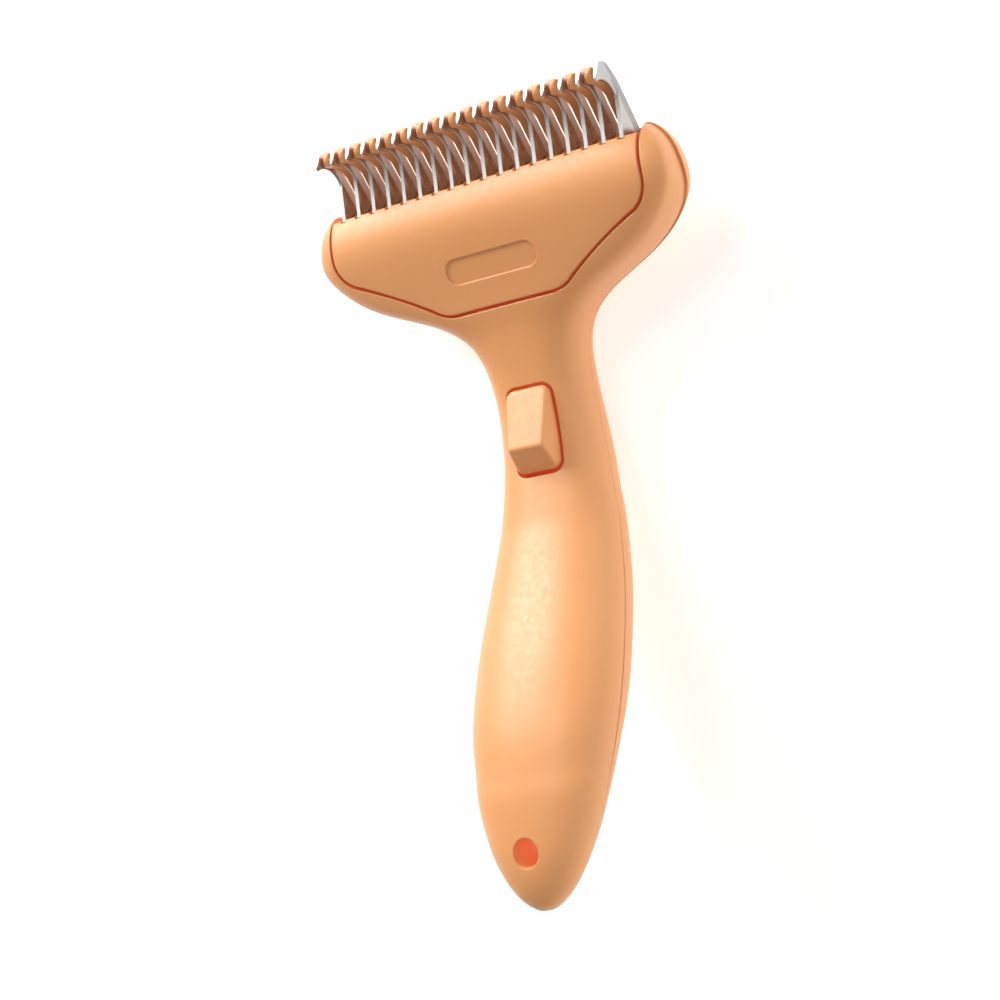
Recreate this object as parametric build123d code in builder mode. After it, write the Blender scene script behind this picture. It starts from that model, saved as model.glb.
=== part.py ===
"""Deshedding tool: a T-shaped grooming rake lying on its back.

X runs along the row of hook blades, Y along the handle towards the blades, Z up through
the front of the tool. Everything is drawn from a working origin at the foot of the blade
row; each part is shifted by origin_y when it is written, so that the file origin is the
centre of the underside of the whole tool. All sizes are in millimetres.
"""
import math
import os

from build123d import *

os.makedirs("parts", exist_ok=True)

# ---- overall -------------------------------------------------------------------------
origin_y = 67.525        # shift from the blade foot to the middle of the tool's length
wall = 2.0               # thickness of the moulded shells
seam_step = 0.6          # how far the rear shell stands outside the front shell at the head
below_all = -5.0         # heights that clear the whole tool, for cutting through it
above_all = 60.0
bar_reach = 12.0         # half length of the cuts that bore the hinge holes

# ---- outer form of the body ------------------------------------------------------------
# Each station: Y, half width, back Z, Z of the widest line, front Z, and the squareness of
# the front and of the back. A squareness of 2 is an ellipse; more is a rounded rectangle.
body_stations = [
    (2.3, 39.4, 8.0, 15.0, 19.8, 4.6, 2.6),
    (1.6, 40.6, 7.0, 15.0, 20.5, 5.0, 2.6),
    (0.4, 41.9, 5.6, 15.0, 21.6, 5.8, 2.6),
    (-1.4, 43.2, 4.2, 14.8, 22.6, 6.6, 2.5),
    (-4.0, 44.3, 2.6, 14.5, 23.5, 7.0, 2.4),
    (-8.0, 45.0, 1.4, 14.2, 24.0, 7.0, 2.3),
    (-11.5, 44.5, 0.8, 13.9, 23.6, 7.0, 2.3),
    (-15.0, 42.4, 0.6, 13.4, 22.8, 6.6, 2.3),
    (-18.5, 39.0, 0.6, 12.9, 21.9, 6.0, 2.3),
    (-21.5, 34.7, 0.8, 12.4, 21.1, 5.4, 2.3),
    (-24.5, 28.5, 0.9, 11.9, 20.4, 4.6, 2.3),
    (-27.5, 21.8, 0.9, 11.3, 19.7, 4.0, 2.3),
    (-30.5, 17.1, 0.9, 10.8, 18.9, 3.4, 2.3),
    (-34.0, 14.0, 0.7, 10.0, 18.2, 3.0, 2.3),
    (-38.5, 12.3, 0.5, 9.3, 17.6, 2.8, 2.3),
    (-44.0, 11.6, 0.2, 8.7, 17.1, 2.6, 2.4),
    (-50.0, 11.6, 0.0, 8.5, 16.9, 2.5, 2.5),
    (-57.0, 12.1, 0.1, 8.6, 17.1, 2.5, 2.5),
    (-64.0, 12.7, 0.7, 9.6, 18.4, 2.5, 2.5),
    (-72.0, 13.7, 2.0, 11.5, 21.1, 2.4, 2.4),
    (-80.0, 14.9, 4.1, 14.5, 24.9, 2.4, 2.4),
    (-88.0, 16.0, 7.2, 18.3, 29.4, 2.4, 2.4),
    (-96.0, 16.8, 11.1, 22.7, 34.2, 2.4, 2.4),
    (-104.0, 17.2, 15.5, 27.1, 38.7, 2.4, 2.4),
    (-112.0, 17.1, 20.3, 31.5, 42.7, 2.4, 2.4),
    (-119.0, 16.4, 24.7, 35.2, 45.6, 2.3, 2.3),
    (-126.0, 15.2, 29.1, 38.6, 48.0, 2.3, 2.3),
    (-132.5, 13.6, 32.9, 41.3, 49.6, 2.2, 2.2),
    (-138.0, 11.6, 36.0, 43.2, 50.5, 2.2, 2.2),
    (-142.5, 9.4, 38.5, 44.6, 50.7, 2.1, 2.1),
    (-146.5, 6.6, 41.0, 45.5, 50.0, 2.1, 2.1),
    (-149.0, 4.0, 43.2, 46.0, 48.8, 2.0, 2.0),
    (-150.2, 1.8, 44.8, 46.2, 47.6, 2.0, 2.0),
]
section_points = 40      # points round each section of the body
fine_steps = 720         # fine walk round a section from which those points are picked
# height of the seam between the shells at a few places along the tool
seam_line = [(6.0, 15.6), (-4.0, 15.2), (-10.0, 14.2), (-15.5, 10.8), (-21.0, 8.8),
             (-30.0, 8.2), (-40.0, 8.3), (-52.0, 8.7), (-66.0, 10.2), (-84.0, 16.6),
             (-104.0, 27.2), (-126.0, 38.2), (-153.0, 47.6)]

# ---- hook blades ---------------------------------------------------------------------
blade_count = 18
blade_pitch = 4.2
blade_thick = 0.9
keen_back = 1.2          # width of the ground bevel along each hook's inner edge
keen_deep = 0.3          # how much the bevel takes off each face
root_low_z = 9.8         # lower edge of each blade's root
root_high_z = 18.9
root_back_y = -9.8
rod_y = -7.0             # both tie rods stand this far behind the foot of the row
rod_z = (12.4, 16.4)
rod_radius = 1.2
rod_hole = 1.25
spacer_radius = 1.9

# ---- ejector: the hinged front panel with its comb of fins ----------------------------
panel_half = 39.0        # half width of the panel
panel_gap = 0.7          # open joint all round the panel
panel_foot_y = -26.5     # straight lower edge of the panel
panel_foot_half = 12.6
panel_lip_z = 19.3       # underside of the panel's rolled top edge
fin_thick = 2.1
fin_nose_y = 12.75        # middle of the round nose at the end of each fin
fin_nose_z = 25.4
fin_nose_radius = 1.6
fin_back = 9.2           # each fin starts this far behind the foot of the row
end_tall = 20.0          # height of the rounded outline that trims a fin seen end-on
hinge_y = -23.5
hinge_z = 15.2
hinge_radius = 1.25
running = 0.05           # radial clearance of a pin in a turning part
snug = 0.02              # radial clearance of a pin in the part that holds it
stud_x = 2.0             # two studs under the panel locate the push arm
stud_y = -17.4
stud_radius = 0.9
notch_wide = 1.5
notch_end_y = -0.75      # how far each blade's notch cuts into the panel's top edge

# ---- button and push arm --------------------------------------------------------------
button_half = 5.3
button_top_y = -45.2
button_foot_y = -63.4
button_crest_y = -57.8
button_crest_z = 22.3
button_draft = 9.0       # lean of the button's sides above the shell, in degrees
button_edge = 0.7        # rounding of its upper edges
button_gap = 0.65
button_pin_y = -47.4
button_pin_z = 14.0
button_pin_radius = 1.0
button_pin_half = 7.6    # half the length of the button's pin
ear_near = button_half + button_gap + 0.3    # ears of the front shell that hold the pin
ear_thick = 1.7
ear_reach = 1.9
ear_z = (11.9, 18.0)
arm_top_z = 10.6
arm_thick = 2.6
arm_half = 3.4
touch_gap = 0.3          # play between the button's toe and the push arm
spring_y = -53.0         # the return spring stands under the push arm here
spring_low_z = 3.0
spring_radius = 2.2
spring_wire = 0.25       # radius of the wire
spring_turns = 3.5

# ---- hanging hole and screws -----------------------------------------------------------
hang_y = -137.9
hang_radius = 3.0
hang_tube = 4.7
hang_tube_low = 20.0     # below the rear wall
hang_tube_top = 48.9     # the tube ends inside the front wall
screw_places = [(-8.4, -31.4, 9.0), (8.4, -31.4, 9.0), (0.0, -82.0, 13.6), (0.0, -116.0, 31.0)]
screw_head_radius = 2.7
screw_head_tall = 1.8
screw_radius = 1.4
screw_long = 10.0
screw_seat = 4.0         # each head sits this far behind the joint between the shells
front_boss_radius = 2.7
rear_boss_radius = 3.7


even_places = [number / section_points for number in range(section_points + 1)]


def section_outline(half_wide, low_tall, high_tall, high_power, low_power):
    """Points round a section that is widest at height 0, closer together at its corners."""
    fine = []
    for step in range(fine_steps + 1):
        turn = 2 * math.pi * step / fine_steps - math.pi / 2
        cos_t, sin_t = math.cos(turn), math.sin(turn)
        tall, power = (high_tall, high_power) if sin_t > 0 else (low_tall, low_power)
        across = half_wide * math.copysign(abs(cos_t) ** (2 / power), cos_t)
        fine.append((across, tall * math.copysign(abs(sin_t) ** (2 / power), sin_t)))
    walked = [0.0]
    for before, after in zip(fine, fine[1:]):
        walked.append(walked[-1] + math.dist(before, after))
    measure = [walk / walked[-1] + step / fine_steps for step, walk in enumerate(walked)]
    points = []
    place = 0
    for number in range(section_points):
        wanted = 2 * number / section_points
        while measure[place + 1] <= wanted:
            place += 1
        share = (wanted - measure[place]) / (measure[place + 1] - measure[place])
        (from_x, from_z), (to_x, to_z) = fine[place], fine[place + 1]
        points.append((from_x + share * (to_x - from_x), from_z + share * (to_z - from_z)))
    return points


def body_loft(inset, narrower, first, last):
    """Solid through the body stations, inset all round and narrower at the head only."""
    with BuildPart(mode=Mode.PRIVATE) as form:
        for station in body_stations[first:last]:
            place_y, half_wide, back_z, wide_z, front_z, front_power, back_power = station
            head_share = max(0.0, min(1.0, (half_wide - 14.0) / 26.0))
            outline = section_outline(
                half_wide - narrower * head_share - inset,
                wide_z - back_z - inset,
                front_z - wide_z - inset,
                front_power,
                back_power,
            )
            plane = Plane(origin=(0, place_y, wide_z), x_dir=(1, 0, 0), z_dir=(0, -1, 0))
            with BuildSketch(plane):
                with BuildLine():
                    add(Edge.make_spline(outline, periodic=True, parameters=even_places))
                make_face()
        loft()
    return form.part


outer_form = body_loft(0.0, 0.0, 0, len(body_stations))
front_form = body_loft(0.0, seam_step, 0, len(body_stations))
cavity_form = body_loft(wall, seam_step, 3, len(body_stations) - 3)
mid_wall_form = body_loft(wall / 2, seam_step, 2, len(body_stations) - 2)


def plan_prism(outline_gap, top_y, low_z, high_z):
    """Upright solid with the outline of the ejector panel, widened by outline_gap."""
    side = panel_half + outline_gap
    foot = panel_foot_y - outline_gap
    with BuildPart(mode=Mode.PRIVATE) as prism:
        with BuildSketch(Plane.XY.offset(low_z)):
            with BuildLine():
                for way in (-1, 1):
                    Line((0, top_y), (way * side, top_y))
                    Line((way * side, top_y), (way * side, -9.5))
                    ThreePointArc(
                        (way * side, -9.5),
                        (way * (side - 1.2), -12.9 - outline_gap * 0.4),
                        (way * (side - 4.2), -15.3 - outline_gap * 0.8),
                    )
                    ThreePointArc(
                        (way * (side - 4.2), -15.3 - outline_gap * 0.8),
                        (way * 26.0, -19.6 - outline_gap),
                        (way * (17.6 + outline_gap * 0.4), -24.4 - outline_gap),
                    )
                    ThreePointArc(
                        (way * (17.6 + outline_gap * 0.4), -24.4 - outline_gap),
                        (way * 15.2, -25.9 - outline_gap),
                        (way * panel_foot_half, foot),
                    )
                    Line((way * panel_foot_half, foot), (0, foot))
            make_face()
        extrude(amount=high_z - low_z)
    return prism.part


def above_seam():
    """Block covering everything in front of the seam between the two shells."""
    with BuildPart(mode=Mode.PRIVATE) as block:
        with BuildSketch(Plane.YZ.offset(-60)):
            with BuildLine():
                Spline(*seam_line)
                Polyline(seam_line[-1], (-152.0, 70.0), (6.0, 70.0), seam_line[0])
            make_face()
        extrude(amount=120)
    return block.part


def upright(place_x, place_y, low_z, high_z, radius):
    """Round post along Z."""
    with BuildPart(mode=Mode.PRIVATE) as post:
        with Locations((place_x, place_y, low_z)):
            Cylinder(radius, high_z - low_z, align=(Align.CENTER, Align.CENTER, Align.MIN))
    return post.part


def block(x_range, y_range, z_range):
    """Plain rectangular block between the given limits."""
    with BuildPart(mode=Mode.PRIVATE) as solid:
        with Locations((x_range[0], y_range[0], z_range[0])):
            Box(
                x_range[1] - x_range[0],
                y_range[1] - y_range[0],
                z_range[1] - z_range[0],
                align=(Align.MIN, Align.MIN, Align.MIN),
            )
    return solid.part


def cross_bar(x_low, x_high, place_y, place_z, radius):
    """Round bar along X."""
    with BuildPart(mode=Mode.PRIVATE) as bar:
        with BuildSketch(Plane.YZ.offset(x_low)):
            with Locations((place_y, place_z)):
                Circle(radius)
        extrude(amount=x_high - x_low)
    return bar.part


def side_plate(points, x_low, x_high):
    """Plate with a straight-sided outline in Y and Z, extruded along X."""
    with BuildPart(mode=Mode.PRIVATE) as plate:
        with BuildSketch(Plane.YZ.offset(x_low)):
            with BuildLine():
                Polyline(*points, close=True)
            make_face()
        extrude(amount=x_high - x_low)
    return plate.part


def button_prism(widen, low_z, high_z):
    """Upright solid with the rounded outline of the button, widened all round."""
    with BuildPart(mode=Mode.PRIVATE) as prism:
        with BuildSketch(Plane.XY.offset(low_z)):
            with Locations((0, (button_top_y + button_foot_y) / 2)):
                RectangleRounded(
                    2 * (button_half + widen),
                    button_top_y - button_foot_y + 2 * widen,
                    1.9 + widen,
                )
        extrude(amount=high_z - low_z)
    return prism.part


written = []


def write(builder, label):
    """Name a finished part, shift it to the file origin and write its STEP file."""
    solid = builder.part.moved(Location((0, origin_y, 0)))
    solid.label = label
    export_step(solid, "parts/" + label + ".step")
    written.append(label)


front_of_seam = above_seam()

# ---- front shell: a U-shaped rim round the panel that runs on into the handle ---------
with BuildPart() as front_shell:
    add(front_form)
    add(cavity_form, mode=Mode.SUBTRACT)
    add(front_of_seam, mode=Mode.INTERSECT)
    add(plan_prism(panel_gap, 12.0, 4.0, 40.0), mode=Mode.SUBTRACT)
    add(button_prism(button_gap, 4.0, 40.0), mode=Mode.SUBTRACT)
    for post_x, post_y, joint_z in screw_places:
        with BuildPart(mode=Mode.PRIVATE) as front_boss:
            add(upright(post_x, post_y, joint_z, above_all, front_boss_radius))
            add(mid_wall_form, mode=Mode.INTERSECT)
        add(front_boss.part)
        pilot_top = joint_z + screw_long - screw_seat
        add(upright(post_x, post_y, joint_z, pilot_top, screw_radius + running), mode=Mode.SUBTRACT)
    for way in (-1, 1):
        ear_limits = sorted((way * ear_near, way * (ear_near + ear_thick)))
        with BuildPart(mode=Mode.PRIVATE) as ear:
            add(block(ear_limits, (button_pin_y - ear_reach, button_pin_y + ear_reach), ear_z))
            add(mid_wall_form, mode=Mode.INTERSECT)
        add(ear.part)
    blind_bore = (-button_pin_half - running, button_pin_half + running)
    add(
        cross_bar(*blind_bore, button_pin_y, button_pin_z, button_pin_radius + snug),
        mode=Mode.SUBTRACT,
    )
    with BuildPart(mode=Mode.PRIVATE) as hang_post:
        add(upright(0, hang_y, hang_tube_low, hang_tube_top, hang_tube))
        add(outer_form, mode=Mode.INTERSECT)
    add(hang_post.part)
    add(upright(0, hang_y, hang_tube_low, above_all, hang_radius), mode=Mode.SUBTRACT)
write(front_shell, "front_shell")

# ---- rear shell: the deep tray behind everything ---------------------------------------
slot_half = 38.3
slot_floor = 11.8
pillar_x = (8.9, 10.9)   # the two pillars that hold the ejector's pin
pillar_low_z = 2.4
tab_x = 22.0             # screws of the blade carrier
tab_y = -14.6
tab_low_z = 9.6
tab_thick = 1.6
tab_half = 3.6
tab_post_radius = 3.0
tab_screw_radius = 1.2
tab_screw_head = (2.6, 1.6)     # radius and height
with BuildPart() as rear_shell:
    add(outer_form)
    add(cavity_form, mode=Mode.SUBTRACT)
    add(front_of_seam, mode=Mode.SUBTRACT)
    add(block((-slot_half, slot_half), (-3.0, 6.0), (slot_floor, 30.0)), mode=Mode.SUBTRACT)
    for post_x, post_y, joint_z in screw_places:
        with BuildPart(mode=Mode.PRIVATE) as rear_boss:
            add(upright(post_x, post_y, below_all, joint_z, rear_boss_radius))
            add(mid_wall_form, mode=Mode.INTERSECT)
        add(rear_boss.part)
        add(upright(post_x, post_y, below_all, joint_z, screw_radius + 0.15), mode=Mode.SUBTRACT)
        head_seat = joint_z - screw_seat
        bore_radius = screw_head_radius + 0.3
        add(upright(post_x, post_y, below_all, head_seat, bore_radius), mode=Mode.SUBTRACT)
    for way in (-1, 1):
        pillar = sorted((way * pillar_x[0], way * pillar_x[1]))
        pillar_outline = [(hinge_y - 3.4, pillar_low_z), (hinge_y + 3.4, pillar_low_z)]
        pillar_outline += [(hinge_y + 2.4, hinge_z + 2.3), (hinge_y - 2.4, hinge_z + 2.3)]
        add(side_plate(pillar_outline, pillar[0], pillar[1]))
        add(upright(way * tab_x, tab_y, 2.6, tab_low_z, tab_post_radius))
        pilot_radius = tab_screw_radius + running
        add(upright(way * tab_x, tab_y, 4.6, tab_low_z, pilot_radius), mode=Mode.SUBTRACT)
    add(cross_bar(-bar_reach, bar_reach, hinge_y, hinge_z, hinge_radius + snug), mode=Mode.SUBTRACT)
    add(upright(0, spring_y, 1.0, spring_low_z, spring_radius + 0.9))
    add(upright(0, hang_y, hang_tube_low, above_all, hang_tube + running), mode=Mode.SUBTRACT)
write(rear_shell, "rear_shell")

# ---- blades: thin sickle plates on two tie rods ------------------------------------------
first_blade_x = -(blade_count - 1) / 2 * blade_pitch


def blade_plate():
    """Hook blade centred on X = 0: a root on the rods, a straight spine and a hooked tip."""
    with BuildPart(mode=Mode.PRIVATE) as plate:
        with BuildSketch(Plane.YZ.offset(-blade_thick / 2)):
            with BuildLine():
                Polyline((root_back_y, root_high_z), (root_back_y, root_low_z), (-3.4, root_low_z))
                Polyline((-3.4, root_low_z), (-1.9, 11.95), (0.0, 12.1), (9.5, 18.1))
                ThreePointArc((9.5, 18.1), (12.6, 20.4), (14.6, 22.8))
                ThreePointArc((14.6, 22.8), (15.0, 24.6), (14.4, 26.4))
                Polyline((14.4, 26.4), (11.2, 28.2), (10.6, 27.5))
                ThreePointArc((10.6, 27.5), (10.8, 23.0), (7.6, 20.3))
                Polyline((7.6, 20.3), (-0.45, 21.3), (-0.6, root_high_z))
                Line((-0.6, root_high_z), (root_back_y, root_high_z))
            make_face()
            with Locations(*[(rod_y, height) for height in rod_z]):
                Circle(rod_hole, mode=Mode.SUBTRACT)
        extrude(amount=blade_thick)
        throat = [edge for edge in plate.edges() if 10.7 < (edge @ 0.5).Y < 10.95]
        keen_edges = [edge for edge in throat if abs((edge @ 0.5).X) > blade_thick / 2 - 0.01]
        chamfer(keen_edges, length=keen_deep, length2=keen_back)
    return plate.part


for number in range(blade_count):
    with BuildPart() as blade:
        with Locations((first_blade_x + number * blade_pitch, 0, 0)):
            add(blade_plate())
    write(blade, "blade_%02d" % (number + 1))

# ---- spacers, tie rods and the channel that carries the blade stack ----------------------
with BuildPart() as blade_spacers:
    for number in range(blade_count - 1):
        spacer_x = first_blade_x + number * blade_pitch + blade_thick / 2
        with BuildSketch(Plane.YZ.offset(spacer_x)):
            with Locations(*[(rod_y, height) for height in rod_z]):
                Circle(spacer_radius - 0.05)
                Circle(rod_hole, mode=Mode.SUBTRACT)
        extrude(amount=blade_pitch - blade_thick)
write(blade_spacers, "blade_spacers")

carrier_half = 38.2
cheek_thick = 1.5
carrier_z = (tab_low_z, root_high_z)
for label, height in (("tie_rod_rear", rod_z[0]), ("tie_rod_front", rod_z[1])):
    with BuildPart() as tie_rod:
        add(cross_bar(-carrier_half - 0.3, carrier_half + 0.3, rod_y, height, rod_radius))
    write(tie_rod, label)

with BuildPart() as blade_carrier:
    add(block((-carrier_half, carrier_half), (-11.6, -10.0), carrier_z))
    for way in (-1, 1):
        cheek = sorted((way * (carrier_half - cheek_thick), way * carrier_half))
        add(block(cheek, (-11.6, -4.6), carrier_z))
        tab = sorted((way * (tab_x - tab_half), way * (tab_x + tab_half)))
        add(block(tab, (-18.2, -11.6), (tab_low_z, tab_low_z + tab_thick)))
        add(upright(way * tab_x, tab_y, 8.0, 14.0, tab_screw_radius + 0.4), mode=Mode.SUBTRACT)
    for height in rod_z:
        add(cross_bar(-50.0, 50.0, rod_y, height, rod_hole), mode=Mode.SUBTRACT)
write(blade_carrier, "blade_carrier")

with BuildPart() as carrier_screws:
    head_low_z = tab_low_z + tab_thick
    head_radius, head_tall = tab_screw_head
    head_high_z = head_low_z + head_tall
    for way in (-1, 1):
        add(upright(way * tab_x, tab_y, 5.0, head_low_z, tab_screw_radius))
        add(upright(way * tab_x, tab_y, head_low_z, head_high_z, head_radius))
        add(upright(way * tab_x, tab_y, head_high_z - 0.8, head_high_z, 0.7), mode=Mode.SUBTRACT)
write(carrier_screws, "carrier_screws")

# ---- ejector panel: curved cover, comb of fins between the blades, hinge lugs -------------
def fin_solid():
    """Fin centred on X = 0: lies along the blades' spines and ends in a rounded nose."""
    nose_low_y = fin_nose_y - fin_nose_radius
    nose_high_y = fin_nose_y + fin_nose_radius
    nose_top = (fin_nose_y, fin_nose_z + fin_nose_radius)
    plan_long = nose_high_y + fin_back
    with BuildPart(mode=Mode.PRIVATE) as fin:
        with BuildSketch(Plane.YZ.offset(-fin_thick / 2)):
            with BuildLine():
                Polyline((-0.25, 21.4), (-4.0, 22.4), (-4.0, 12.4), (1.6, 12.4), (4.4, 13.0))
                Line((4.4, 13.0), (10.6, 16.6))
                TangentArc((nose_high_y, 22.8), (10.6, 16.6), tangent=(0, -1))
                Line((nose_high_y, 22.8), (nose_high_y, fin_nose_z))
                ThreePointArc((nose_high_y, fin_nose_z), nose_top, (nose_low_y, fin_nose_z))
                Line((nose_low_y, fin_nose_z), (nose_low_y, 23.0))
                TangentArc((nose_low_y, 23.0), (9.2, 18.6), tangent=(0, -1))
                Polyline((9.2, 18.6), (4.2, 15.6), (1.9, 15.9), (-0.25, 20.2), (-0.25, 21.4))
            make_face()
        extrude(amount=fin_thick)
        with BuildSketch(Plane.XY.offset(5.0), mode=Mode.PRIVATE) as seen_from_front:
            with Locations((0, nose_high_y - plan_long / 2)):
                SlotOverall(plan_long, fin_thick, rotation=90)
        extrude(seen_from_front.sketch, amount=40.0, mode=Mode.INTERSECT)
        with BuildSketch(Plane.XZ.offset(20.0), mode=Mode.PRIVATE) as seen_end_on:
            with Locations((0, nose_top[1] - end_tall / 2)):
                SlotOverall(end_tall, fin_thick, rotation=90)
        extrude(seen_end_on.sketch, amount=-60.0, mode=Mode.INTERSECT)
    return fin.part


with BuildPart() as ejector_panel:
    add(front_form)
    add(cavity_form, mode=Mode.SUBTRACT)
    add(plan_prism(0.0, -0.2, 14.0, 40.0), mode=Mode.INTERSECT)
    add(block((-40.0, 40.0), (-2.0, 1.0), (10.0, panel_lip_z)), mode=Mode.SUBTRACT)
    for number in range(blade_count):
        notch_x = first_blade_x + number * blade_pitch
        notch_limits = (notch_x - notch_wide / 2, notch_x + notch_wide / 2)
        add(block(notch_limits, (notch_end_y, 2.0), (14.0, 30.0)), mode=Mode.SUBTRACT)
    for number in range(blade_count - 1):
        with Locations((first_blade_x + (number + 0.5) * blade_pitch, 0, 0)):
            add(fin_solid())
    lug_outline = [(hinge_y - 2.3, 19.2), (hinge_y - 2.3, hinge_z - 1.4)]
    lug_outline += [(hinge_y - 1.2, hinge_z - 2.6), (hinge_y + 1.2, hinge_z - 2.6)]
    lug_outline += [(hinge_y + 2.3, hinge_z - 1.4), (hinge_y + 5.0, 20.6)]
    for way in (-1, 1):
        lug = sorted((way * 5.4, way * 7.9))
        add(side_plate(lug_outline, lug[0], lug[1]))
        add(upright(way * stud_x, stud_y, 16.0, 20.8, stud_radius))
    add(cross_bar(-bar_reach, bar_reach, hinge_y, hinge_z, hinge_radius + running), mode=Mode.SUBTRACT)
    with BuildPart(mode=Mode.PRIVATE) as badge_recess:
        with BuildSketch(Plane.XY.offset(20.9)):
            with Locations((0, -18.0)):
                SlotOverall(22.8, 5.4)
        extrude(amount=6)
    badge_floor = 0.35
    add(
        badge_recess.part & (front_form - front_form.moved(Location((0, 0, -badge_floor)))),
        mode=Mode.SUBTRACT,
    )
write(ejector_panel, "ejector_panel")

# ---- push arm: lever from the hinge back under the button ---------------------------------
arm_low_z = arm_top_z - arm_thick
arm_outline = [(-14.6, 18.3), (-14.6, 16.3), (-20.4, 15.6), (-21.6, 13.0), (-25.8, 12.6)]
arm_outline += [(-38.0, arm_low_z), (-62.6, arm_low_z), (-62.6, arm_top_z)]
arm_outline += [(-39.0, arm_top_z), (-27.0, 16.2), (-25.0, 17.6), (-21.5, 17.7)]
with BuildPart() as push_arm:
    add(side_plate(arm_outline, -arm_half, arm_half))
    add(cross_bar(-bar_reach, bar_reach, hinge_y, hinge_z, hinge_radius + running), mode=Mode.SUBTRACT)
    for way in (-1, 1):
        add(upright(way * stud_x, stud_y, 14.0, 22.0, stud_radius + snug), mode=Mode.SUBTRACT)
write(push_arm, "push_arm")

with BuildPart() as ejector_pin:
    add(cross_bar(-10.9, 10.9, hinge_y, hinge_z, hinge_radius))
write(ejector_pin, "ejector_pin")

# ---- return spring under the arm ------------------------------------------------------------
spring_rise = arm_low_z - spring_low_z - 2 * spring_wire
with BuildPart() as return_spring:
    with BuildLine():
        coil = Helix(spring_rise / spring_turns, spring_rise, spring_radius)
    with BuildSketch(Plane(origin=coil @ 0, z_dir=coil % 0)):
        Circle(spring_wire)
    sweep(path=coil)
spring_place = Location((0, spring_y, spring_low_z + spring_wire))
return_spring.part = return_spring.part.moved(spring_place)
write(return_spring, "return_spring")

# ---- button: wedge that stands proud at its lower end ----------------------------------------
button_shoulder_z = 17.0
button_side = [(button_foot_y - 1, 12.4), (button_top_y + 1, 12.4), (button_top_y + 1, 17.1)]
button_side += [(button_top_y - 0.6, 17.6), (button_crest_y, button_crest_z)]
button_side += [(button_foot_y, 18.2), (button_foot_y - 1, 17.4)]
with BuildPart() as button:
    add(button_prism(0.0, 12.4, button_shoulder_z))
    with BuildSketch(Plane.XY.offset(button_shoulder_z)):
        with Locations((0, (button_top_y + button_foot_y) / 2)):
            RectangleRounded(2 * button_half, button_top_y - button_foot_y, 1.9)
    extrude(amount=8.0, taper=button_draft)
    add(side_plate(button_side, -9.0, 9.0), mode=Mode.INTERSECT)
    upper_edges = []
    for face in button.faces():
        if face.normal_at().Z > 0.4:
            upper_edges += [edge for edge in face.edges() if (edge @ 0.5).Z > 17.9]
    fillet(ShapeList(set(upper_edges)), radius=button_edge)
    hollow_side = [(-62.2, 12.0), (-49.6, 12.0), (-49.6, 16.6), (-58.0, 19.6), (-62.2, 17.2)]
    add(side_plate(hollow_side, -3.9, 3.9), mode=Mode.SUBTRACT)
    add(block((-1.5, 1.5), (-62.4, -60.4), (arm_top_z + touch_gap, 18.0)))
    add(
        cross_bar(-bar_reach, bar_reach, button_pin_y, button_pin_z, button_pin_radius + running),
        mode=Mode.SUBTRACT,
    )
write(button, "button")

with BuildPart() as button_pin:
    add(cross_bar(-button_pin_half, button_pin_half, button_pin_y, button_pin_z, button_pin_radius))
write(button_pin, "button_pin")

# ---- screws that close the shells -------------------------------------------------------------
with BuildPart() as shell_screws:
    for post_x, post_y, joint_z in screw_places:
        head_top = joint_z - screw_seat
        add(upright(post_x, post_y, head_top, head_top + screw_long - 0.6, screw_radius))
        add(upright(post_x, post_y, head_top - screw_head_tall, head_top, screw_head_radius))
        with BuildPart(mode=Mode.PRIVATE) as cross_slot:
            for spin in (0, 90):
                with BuildSketch(Plane.XY.offset(head_top - screw_head_tall)):
                    with Locations(Location((post_x, post_y), spin)):
                        Rectangle(3.2, 0.7)
                extrude(amount=0.9)
        add(cross_slot.part, mode=Mode.SUBTRACT)
write(shell_screws, "shell_screws")

print(len(written), "parts written")
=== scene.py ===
"""Looks of the deshedding tool: materials, spring wire, floor, light and camera."""
import math

import bpy
from mathutils import Euler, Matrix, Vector


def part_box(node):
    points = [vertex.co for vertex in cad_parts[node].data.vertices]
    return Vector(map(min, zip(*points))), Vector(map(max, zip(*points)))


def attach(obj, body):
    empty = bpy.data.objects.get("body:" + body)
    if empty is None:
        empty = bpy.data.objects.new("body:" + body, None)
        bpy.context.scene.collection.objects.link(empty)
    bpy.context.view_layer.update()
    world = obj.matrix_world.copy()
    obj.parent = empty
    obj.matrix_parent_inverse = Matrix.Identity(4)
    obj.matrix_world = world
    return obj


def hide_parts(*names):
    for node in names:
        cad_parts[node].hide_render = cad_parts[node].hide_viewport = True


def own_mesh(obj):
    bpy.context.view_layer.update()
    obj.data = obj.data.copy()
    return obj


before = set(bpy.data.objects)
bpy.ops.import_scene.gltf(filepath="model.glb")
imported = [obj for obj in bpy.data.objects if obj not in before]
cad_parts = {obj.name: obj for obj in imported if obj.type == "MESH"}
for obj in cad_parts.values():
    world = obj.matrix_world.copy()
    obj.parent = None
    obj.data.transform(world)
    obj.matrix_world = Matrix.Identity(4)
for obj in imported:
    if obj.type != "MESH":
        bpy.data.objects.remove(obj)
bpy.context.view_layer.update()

# ---------------------------------------------------------------- camera
CAMERA_PLACE = (0.221305, -0.006159, 0.382591)
CAMERA_TURN = (-5.9314, 32.0441, -12.6111)
LENS_LENGTH = 72.21
SENSOR_WIDTH = 36.0
NEAREST = 0.01
FARTHEST = 20.0

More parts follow.
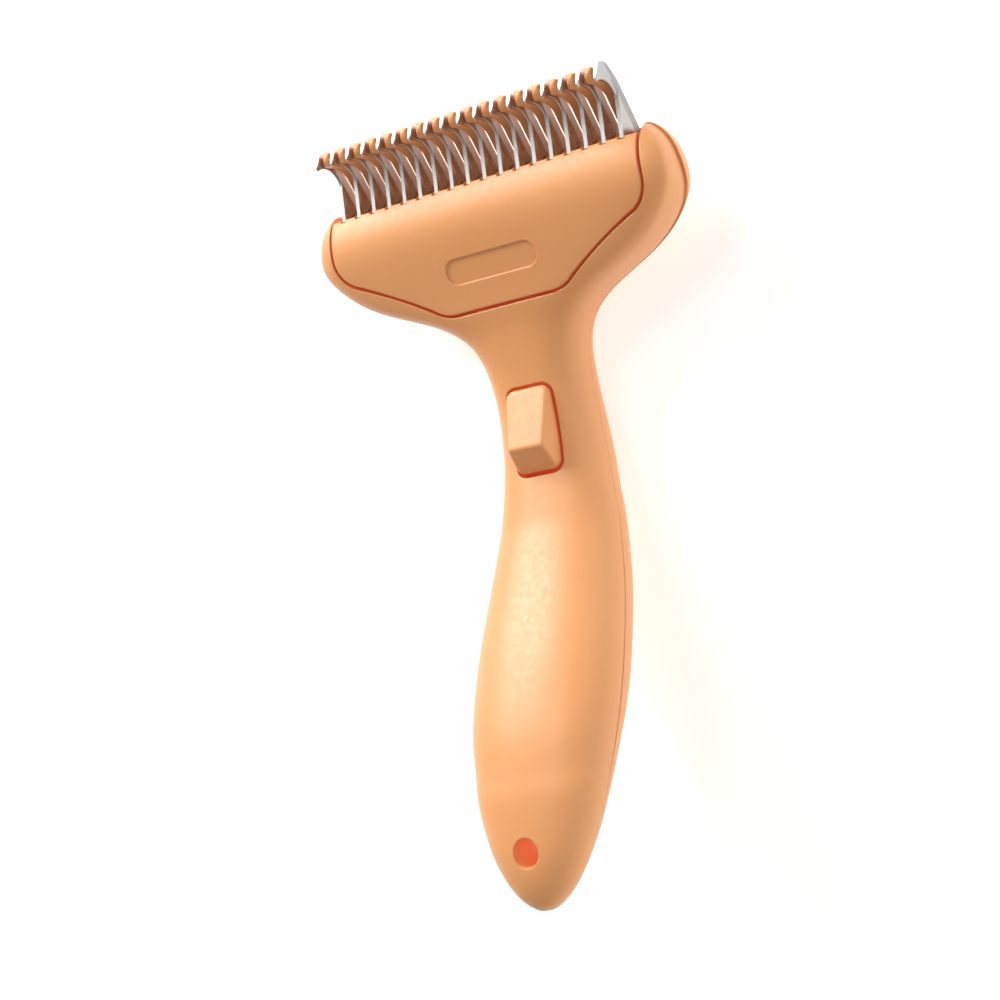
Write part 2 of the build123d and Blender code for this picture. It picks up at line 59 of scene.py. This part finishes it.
camera_data = bpy.data.cameras.new("camera")
camera_data.lens = LENS_LENGTH
camera_data.sensor_width = SENSOR_WIDTH
camera_data.clip_start = NEAREST
camera_data.clip_end = FARTHEST
camera = bpy.data.objects.new("camera", camera_data)
bpy.context.scene.collection.objects.link(camera)
camera.location = CAMERA_PLACE
camera.rotation_euler = Euler([math.radians(angle) for angle in CAMERA_TURN], "XYZ")
bpy.context.scene.camera = camera
bpy.context.scene.view_settings.view_transform = "Standard"

# ---------------------------------------------------------------- material building blocks
BEVEL_SAMPLES = 8
SHADE_SAMPLES = 12
EDGE_BEGINS = 0.995      # cosine of the angle between the soft and the true normal
EDGE_FULL = 0.75


class Board:
    """A node tree with short calls for the nodes that every material here uses."""

    def __init__(self, name):
        self.material = bpy.data.materials.new(name)
        self.material.use_nodes = True
        self.tree = self.material.node_tree
        self.tree.nodes.clear()
        out = self.tree.nodes.new("ShaderNodeOutputMaterial")
        self.shader = self.tree.nodes.new("ShaderNodeBsdfPrincipled")
        self.tree.links.new(self.shader.outputs[0], out.inputs[0])
        self.place = self.tree.nodes.new("ShaderNodeTexCoord").outputs["Object"]

    def node(self, kind, **settings):
        made = self.tree.nodes.new(kind)
        for name, value in settings.items():
            setattr(made, name, value)
        return made

    def feed(self, socket, value):
        """Link a socket to another one, or give it a plain value."""
        if isinstance(value, bpy.types.NodeSocket):
            self.tree.links.new(value, socket)
        else:
            socket.default_value = value

    def stretched(self, scale):
        """Object coordinates stretched by a scale in X, Y and Z."""
        mapping = self.node("ShaderNodeMapping")
        self.feed(mapping.inputs["Vector"], self.place)
        mapping.inputs["Scale"].default_value = scale
        return mapping.outputs[0]

    def noise(self, scale, detail, rough=0.5, vector=None):
        noise = self.node("ShaderNodeTexNoise")
        self.feed(noise.inputs["Vector"], vector or self.place)
        noise.inputs["Scale"].default_value = scale
        noise.inputs["Detail"].default_value = detail
        noise.inputs["Roughness"].default_value = rough
        return noise.outputs["Fac"]

    def spread(self, value, low, high, to_low=0.0, to_high=1.0):
        """Map low..high to to_low..to_high, clamped."""
        spread = self.node("ShaderNodeMapRange")
        self.feed(spread.inputs[0], value)
        for place, number in enumerate((low, high, to_low, to_high)):
            spread.inputs[place + 1].default_value = number
        return spread.outputs[0]

    def math(self, operation, *values):
        step = self.node("ShaderNodeMath", operation=operation)
        for place, value in enumerate(values):
            self.feed(step.inputs[place], value)
        return step.outputs[0]

    def mix(self, share, first, second):
        """The first colour where the share is 0, and the second where it is 1."""
        mixed = self.node("ShaderNodeMix", data_type="RGBA")
        self.feed(mixed.inputs[0], share)
        for socket, colour in ((mixed.inputs[6], first), (mixed.inputs[7], second)):
            self.feed(socket, (*colour, 1.0) if isinstance(colour, tuple) else colour)
        return mixed.outputs[2]

    def soft_edges(self, radius):
        """Shading normal rounded over edges, and a mask that is 1 on them."""
        bevel = self.node("ShaderNodeBevel", samples=BEVEL_SAMPLES)
        bevel.inputs["Radius"].default_value = radius
        true_normal = self.node("ShaderNodeNewGeometry").outputs["Normal"]
        dot = self.node("ShaderNodeVectorMath", operation="DOT_PRODUCT")
        self.feed(dot.inputs[0], bevel.outputs[0])
        self.feed(dot.inputs[1], true_normal)
        return bevel.outputs[0], self.spread(dot.outputs["Value"], EDGE_BEGINS, EDGE_FULL)

    def crevice(self, reach):
        """1 in the open, falling towards 0 deep in gaps and corners."""
        shade = self.node("ShaderNodeAmbientOcclusion", samples=SHADE_SAMPLES)
        shade.inputs["Distance"].default_value = reach
        return shade.outputs["AO"]

    def bump(self, height, depth, strength, normal=None):
        bump = self.node("ShaderNodeBump")
        bump.inputs["Strength"].default_value = strength
        bump.inputs["Distance"].default_value = depth
        self.feed(bump.inputs["Height"], height)
        if normal is not None:
            self.feed(bump.inputs["Normal"], normal)
        return bump.outputs[0]

    def finish(self, colour, roughness, normal, metallic=0.0):
        self.feed(self.shader.inputs["Base Color"], colour)
        self.feed(self.shader.inputs["Roughness"], roughness)
        self.feed(self.shader.inputs["Normal"], normal)
        self.shader.inputs["Metallic"].default_value = metallic
        return self.material


def shaded(colour, factor):
    """A colour made darker or lighter by a factor."""
    return tuple(min(1.0, channel * factor) for channel in colour)


# ---------------------------------------------------------------- moulded plastic
FLOW_CLOUDS = 28.0       # noise scales, per metre
FLOW_STREAKS = 9.0
STREAK_STRETCH = (5.0, 0.8, 3.0)
SPARK_GRAIN = 2600.0
SHEEN_SPECKS = 900.0
GRAIN_DEPTH = 0.00002
# painted highlight: the rounded edges of the plastic are painted this much lighter
EDGE_HIGHLIGHT_FACTOR = 1.12
JOINT_REACH = 0.004      # painted shade: joints and corners take on the joint shade colour within this reach
INSIDE_REACH = 0.02      # painted glow: a place with walls all round within this reach counts as inside the casing and glows
PLASTIC_IOR = 1.49
UNDER_SKIN_SHARE = 0.12
UNDER_SKIN_DEPTH = 0.0015
UNDER_SKIN_TINT = (1.0, 0.35, 0.12)


def moulded_plastic(name, colour, deep, gap_shade_glow, sheen_rough, through=0.27, rounding=0.0005):
    """Satin moulded plastic: fine spark grain, faint flow clouds, polished edges with a painted
    highlight, painted shade deep in gaps.

    Enclosed places get a painted glow in the joint shade colour, standing in for light that
    comes in through the wall.
    """
    board = Board(name)
    soft_normal, edge = board.soft_edges(rounding)
    clouds = board.noise(FLOW_CLOUDS, 2.0)
    streaks = board.noise(FLOW_STREAKS, 3.0, 0.6, board.stretched(STREAK_STRETCH))
    fine = board.noise(SPARK_GRAIN, 2.0, 0.6)
    specks = board.noise(SHEEN_SPECKS, 1.0)
    body = board.mix(board.spread(clouds, 0.35, 0.7, 0.0, 0.35), colour, deep)
    body = board.mix(board.spread(streaks, 0.4, 0.75, 0.0, 0.25), body, deep)
    # painted highlight: the base colour is made lighter on the rounded edges
    body = board.mix(board.math("MULTIPLY", edge, 0.25), body, shaded(colour, EDGE_HIGHLIGHT_FACTOR))
    open_air = board.crevice(JOINT_REACH)
    # painted shade: joints and corners are darkened towards the joint shade colour, standing in
    # for shade and red bounce light
    body = board.mix(board.spread(open_air, 0.75, 0.15), body, gap_shade_glow)
    rough = board.spread(specks, 0.3, 0.7, sheen_rough - 0.05, sheen_rough + 0.06)
    rough = board.math("SUBTRACT", rough, board.math("MULTIPLY", edge, 0.10))
    relief = board.math("ADD", fine, board.math("MULTIPLY", clouds, 0.4))
    # painted glow: enclosed places emit the joint shade colour, though the plastic is no lamp
    board.shader.inputs["Emission Color"].default_value = (*gap_shade_glow, 1.0)
    painted_inner_glow = board.spread(board.crevice(INSIDE_REACH), 0.40, 0.08, 0.0, through)
    board.feed(board.shader.inputs["Emission Strength"], painted_inner_glow)
    board.shader.inputs["Subsurface Weight"].default_value = UNDER_SKIN_SHARE
    board.shader.inputs["Subsurface Radius"].default_value = UNDER_SKIN_TINT
    board.shader.inputs["Subsurface Scale"].default_value = UNDER_SKIN_DEPTH
    board.shader.inputs["IOR"].default_value = PLASTIC_IOR
    return board.finish(body, rough, board.bump(relief, GRAIN_DEPTH, 0.6, soft_normal))


APRICOT = (0.88, 0.41, 0.165)
APRICOT_DEEP = (0.84, 0.355, 0.13)
# painted shade and painted glow colour for joints, corners and enclosed places
GAP_SHADE_GLOW_RED = (0.62, 0.11, 0.035)
FIN_SHADE = (0.68, 0.22, 0.08)
ACETAL = (0.80, 0.78, 0.72)
ACETAL_DEEP = (0.72, 0.69, 0.63)
NYLON = (0.74, 0.73, 0.70)
NYLON_DEEP = (0.66, 0.64, 0.60)
# painted shade and painted glow colour for the nylon's joints and enclosed places
NYLON_GAP_SHADE_GLOW = (0.30, 0.20, 0.14)

casing = moulded_plastic("apricot_plastic", APRICOT, APRICOT_DEEP, GAP_SHADE_GLOW_RED, 0.40)
panel_plastic = moulded_plastic(
    "apricot_panel", APRICOT, APRICOT_DEEP, FIN_SHADE, 0.42, through=0.07
)
button_plastic = moulded_plastic(
    "apricot_button", APRICOT, APRICOT_DEEP, GAP_SHADE_GLOW_RED, 0.42, rounding=0.0011
)
arm_plastic = moulded_plastic("acetal_arm", ACETAL, ACETAL_DEEP, GAP_SHADE_GLOW_RED, 0.45)
nylon = moulded_plastic("nylon_spacer", NYLON, NYLON_DEEP, NYLON_GAP_SHADE_GLOW, 0.48)

# ---------------------------------------------------------------- blade steel
# the blades' straight spine in the model's frame: a point on it and the way into the blade
SPINE_FOOT = (0.0, 0.067525, 0.0121)
SPINE_NORMAL = (0.0, -0.534, 0.845)
# width of the painted reflection band along the spine
REFLECTION_BAND_WIDTH = 0.0021
BLADE_SCRATCHES = (900.0, 260.0, 5200.0)
BLADE_CLOUDS = 330.0
BLADE_GRAIN_DEPTH = 0.000002
# painted highlight: light grey for the narrow edge faces of the blades
EDGE_HIGHLIGHT_GREY = (0.74, 0.755, 0.75)


def sickle_steel(name, bright, spine_reflection, dull):
    """Blade steel: polished faces, with a duller band along the spine painted light grey as a
    painted reflection, and painted highlights on the edges.
    """
    board = Board(name)
    from_foot = board.node("ShaderNodeVectorMath", operation="SUBTRACT")
    board.feed(from_foot.inputs[0], board.place)
    from_foot.inputs[1].default_value = SPINE_FOOT
    off_spine = board.node("ShaderNodeVectorMath", operation="DOT_PRODUCT")
    board.feed(off_spine.inputs[0], from_foot.outputs[0])
    off_spine.inputs[1].default_value = SPINE_NORMAL
    # painted reflection: a light grey band along the spine stands in for the white studio seen
    # in the blade face
    band = board.spread(off_spine.outputs["Value"], REFLECTION_BAND_WIDTH + 0.0003, REFLECTION_BAND_WIDTH - 0.0001)
    scratches = board.noise(1.0, 3.0, 0.6, board.stretched(BLADE_SCRATCHES))
    clouds = board.noise(BLADE_CLOUDS, 3.0, 0.6)
    scratched = board.spread(scratches, 0.4, 0.8, 0.0, 0.35)
    body = board.mix(scratched, bright, shaded(bright, 0.85))
    clouded = board.mix(board.spread(clouds, 0.35, 0.7), spine_reflection, shaded(spine_reflection, 0.88))
    body = board.mix(band, body, clouded)
    rough = board.spread(scratches, 0.3, 0.75, 0.22, 0.34)
    rough = board.math("ADD", rough, board.math("MULTIPLY", band, 0.16))
    facing = board.node("ShaderNodeSeparateXYZ")
    board.feed(facing.inputs[0], board.node("ShaderNodeNewGeometry").outputs["Normal"])
    narrow = board.spread(board.math("ABSOLUTE", facing.outputs["X"]), 0.6, 0.3)
    # painted highlight: the narrow edge faces are painted light grey, rougher and less metallic
    body = board.mix(board.math("MULTIPLY", narrow, 0.8), body, EDGE_HIGHLIGHT_GREY)
    rough = board.math("ADD", rough, board.math("MULTIPLY", narrow, 0.2))
    made = board.finish(body, rough, board.bump(scratches, BLADE_GRAIN_DEPTH, 0.3))
    dull_band = board.math("MULTIPLY", band, dull)
    dull_share = board.math("MAXIMUM", dull_band, board.math("MULTIPLY", narrow, 0.75))
    board.feed(board.shader.inputs["Metallic"], board.math("SUBTRACT", 1.0, dull_share))
    return made


blade_steel = sickle_steel("blade_steel", (0.66, 0.66, 0.65), (0.93, 0.94, 0.93), 1.0)
# painted shade: the last blade turns its whole face to the studio's bright side, so it gets a
# darker copy of the blade steel
shaded_end_steel = sickle_steel("end_blade_shaded_steel", (0.42, 0.425, 0.42), (0.36, 0.37, 0.365), 0.6)

# ---------------------------------------------------------------- other metal
CROSSWISE = (240.0, 6500.0, 6500.0)
METAL_CLOUDS = 240.0
METAL_GRAIN_DEPTH = 0.00001
METAL_EDGE = 0.00012
POLISHED_EDGE = (0.95, 0.95, 0.94)


def brushed_metal(name, colour, tarnish, rough_low, rough_high):
    """Ground metal: fine scratches along X, duller clouds, bright worn edges."""
    board = Board(name)
    soft_normal, edge = board.soft_edges(METAL_EDGE)
    scratches = board.noise(1.0, 4.0, 0.65, board.stretched(CROSSWISE))
    clouds = board.noise(METAL_CLOUDS, 3.0, 0.6)
    body = board.mix(board.spread(clouds, 0.4, 0.75, 0.0, 0.5), colour, tarnish)
    scratched = board.math("MULTIPLY", board.spread(scratches, 0.45, 0.8), 0.3)
    body = board.mix(scratched, body, tarnish)
    body = board.mix(board.math("MULTIPLY", edge, 0.6), body, POLISHED_EDGE)
    rough = board.spread(scratches, 0.3, 0.75, rough_low, rough_high)
    relief = board.bump(scratches, METAL_GRAIN_DEPTH, 0.5, soft_normal)
    return board.finish(body, rough, relief, 1.0)


rod_steel = brushed_metal("rod_steel", (0.68, 0.68, 0.68), (0.52, 0.51, 0.50), 0.16, 0.32)
zinc_sheet = brushed_metal("zinc_sheet", (0.66, 0.67, 0.66), (0.50, 0.50, 0.47), 0.28, 0.48)
screw_steel = brushed_metal("screw_steel", (0.50, 0.50, 0.51), (0.34, 0.34, 0.35), 0.24, 0.42)
wire_steel = brushed_metal("spring_wire", (0.62, 0.61, 0.58), (0.45, 0.43, 0.40), 0.18, 0.34)

# ---------------------------------------------------------------- finish of each part
FINISHES = {
    "front_shell": casing,
    "rear_shell": casing,
    "ejector_panel": panel_plastic,
    "button": button_plastic,
    "push_arm": arm_plastic,
    "blade_spacers": nylon,
    "blade_18": shaded_end_steel,
    "tie_rod_rear": rod_steel,
    "tie_rod_front": rod_steel,
    "ejector_pin": rod_steel,
    "button_pin": rod_steel,
    "blade_carrier": zinc_sheet,
    "carrier_screws": screw_steel,
    "shell_screws": screw_steel,
    "return_spring": wire_steel,
}
for name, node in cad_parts.items():
    node.data.materials.clear()
    node.data.materials.append(FINISHES.get(name, blade_steel))

# ---------------------------------------------------------------- return spring
SPRING_TURNS = 4.5
SPRING_WIRE = 0.00025    # radius of the wire
SPRING_CLOSING = 0.8     # 1 lays the end turns quite flat, 0 spaces all turns evenly
TURN_STEPS = 36
WIRE_SIDES = 12


def coil_spring(name, node):
    """Coil of round wire that fills the box of a node, closer at its ends; and its foot."""
    low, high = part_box(node)
    middle = (low + high) / 2
    radius = (high.x - low.x) / 2 - SPRING_WIRE
    bottom = low.z + SPRING_WIRE
    rise = high.z - low.z - 2 * SPRING_WIRE
    steps = int(SPRING_TURNS * TURN_STEPS)
    vertices = []
    for step in range(steps + 1):
        share = step / steps
        turn = 2 * math.pi * SPRING_TURNS * share
        climb = share - SPRING_CLOSING * math.sin(2 * math.pi * share) / (2 * math.pi)
        for side in range(WIRE_SIDES):
            around = 2 * math.pi * side / WIRE_SIDES
            reach = radius + SPRING_WIRE * math.cos(around)
            height = bottom + rise * climb + SPRING_WIRE * math.sin(around)
            vertices.append(
                (middle.x + reach * math.cos(turn), middle.y + reach * math.sin(turn), height)
            )
    faces = [tuple(range(WIRE_SIDES))]
    for step in range(steps):
        near = step * WIRE_SIDES
        far = near + WIRE_SIDES
        for side in range(WIRE_SIDES):
            after = (side + 1) % WIRE_SIDES
            faces.append((near + after, near + side, far + side, far + after))
    faces.append(tuple(reversed(range(steps * WIRE_SIDES, (steps + 1) * WIRE_SIDES))))
    mesh = bpy.data.meshes.new(name)
    mesh.from_pydata(vertices, [], faces)
    mesh.polygons.foreach_set("use_smooth", [True] * len(mesh.polygons))
    mesh.update()
    coil = bpy.data.objects.new(name, mesh)
    bpy.context.scene.collection.objects.link(coil)
    return coil, (middle.x, middle.y, low.z)


coil, coil_foot = coil_spring("spring_coil", "return_spring")
coil.data.materials.append(wire_steel)
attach(coil, "shell")
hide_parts("return_spring")
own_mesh(coil)

# ---------------------------------------------------------------- floor
FLOOR_HALF = 3.0
FLOOR_DROP = 0.0005
PAPER_GLOW = 0.55        # keeps the paper white away from the lights
PAPER_CLOUDS = 6.0
PAPER_GRAIN = 900.0
PAPER_GRAIN_DEPTH = 0.00002

floor_mesh = bpy.data.meshes.new("floor")
corners = [
    (x * FLOOR_HALF, y * FLOOR_HALF, 0) for x, y in ((-1, -1), (1, -1), (1, 1), (-1, 1))
]
floor_mesh.from_pydata(corners, [], [(0, 1, 2, 3)])
floor = bpy.data.objects.new("floor", floor_mesh)
bpy.context.scene.collection.objects.link(floor)
floor.location.z = -FLOOR_DROP
paper = Board("white_paper")
paper.shader.inputs["Emission Color"].default_value = (1.0, 1.0, 1.0, 1.0)
paper.shader.inputs["Emission Strength"].default_value = PAPER_GLOW
paper_colour = paper.mix(paper.noise(PAPER_CLOUDS, 2.0), (0.86, 0.86, 0.86), (0.90, 0.90, 0.90))
paper_relief = paper.bump(paper.noise(PAPER_GRAIN, 2.0), PAPER_GRAIN_DEPTH, 0.3)
floor.data.materials.append(paper.finish(paper_colour, 0.9, paper_relief))

# ---------------------------------------------------------------- light
world = bpy.data.worlds.new("studio")
bpy.context.scene.world = world
world.use_nodes = True
sky = world.node_tree
sky_light = sky.nodes["Background"]
sky_light.inputs[0].default_value = (1.0, 0.985, 0.97, 1)
direction = sky.nodes.new("ShaderNodeSeparateXYZ")
sky.links.new(sky.nodes.new("ShaderNodeTexCoord").outputs["Generated"], direction.inputs[0])


def sky_ramp(axis, start, end, at_start, at_end):
    """Strength that changes evenly with one component of the direction."""
    ramp = sky.nodes.new("ShaderNodeMapRange")
    sky.links.new(direction.outputs[axis], ramp.inputs[0])
    for place, number in enumerate((start, end, at_start, at_end)):
        ramp.inputs[place + 1].default_value = number
    return ramp.outputs[0]


# a studio that is bright round the horizon and on the right, and dimmer overhead
added = sky.nodes.new("ShaderNodeMath")
sky.links.new(sky_ramp("Z", start=0.0, end=0.75, at_start=0.48, at_end=0.20), added.inputs[0])
sky.links.new(sky_ramp("X", start=0.1, end=0.8, at_start=0.0, at_end=0.60), added.inputs[1])
sky.links.new(added.outputs[0], sky_light.inputs[1])

LIT_POINT = (0.0, 0.0, 0.02)


def softbox(name, place, size, power, tint):
    """Square area light aimed at the lit point."""
    data = bpy.data.lights.new(name, "AREA")
    data.shape = "SQUARE"
    data.size = size
    data.energy = power
    data.color = tint
    light = bpy.data.objects.new(name, data)
    bpy.context.scene.collection.objects.link(light)
    light.location = place
    aim = Vector(LIT_POINT) - Vector(place)
    light.rotation_euler = aim.to_track_quat("-Z", "Y").to_euler()


softbox("over_head", (-0.12, 0.60, 0.95), size=0.32, power=1.8, tint=(1.0, 0.98, 0.96))
softbox("head_end_key", (-0.60, 0.80, 0.46), size=0.55, power=12.8, tint=(1.0, 0.985, 0.95))
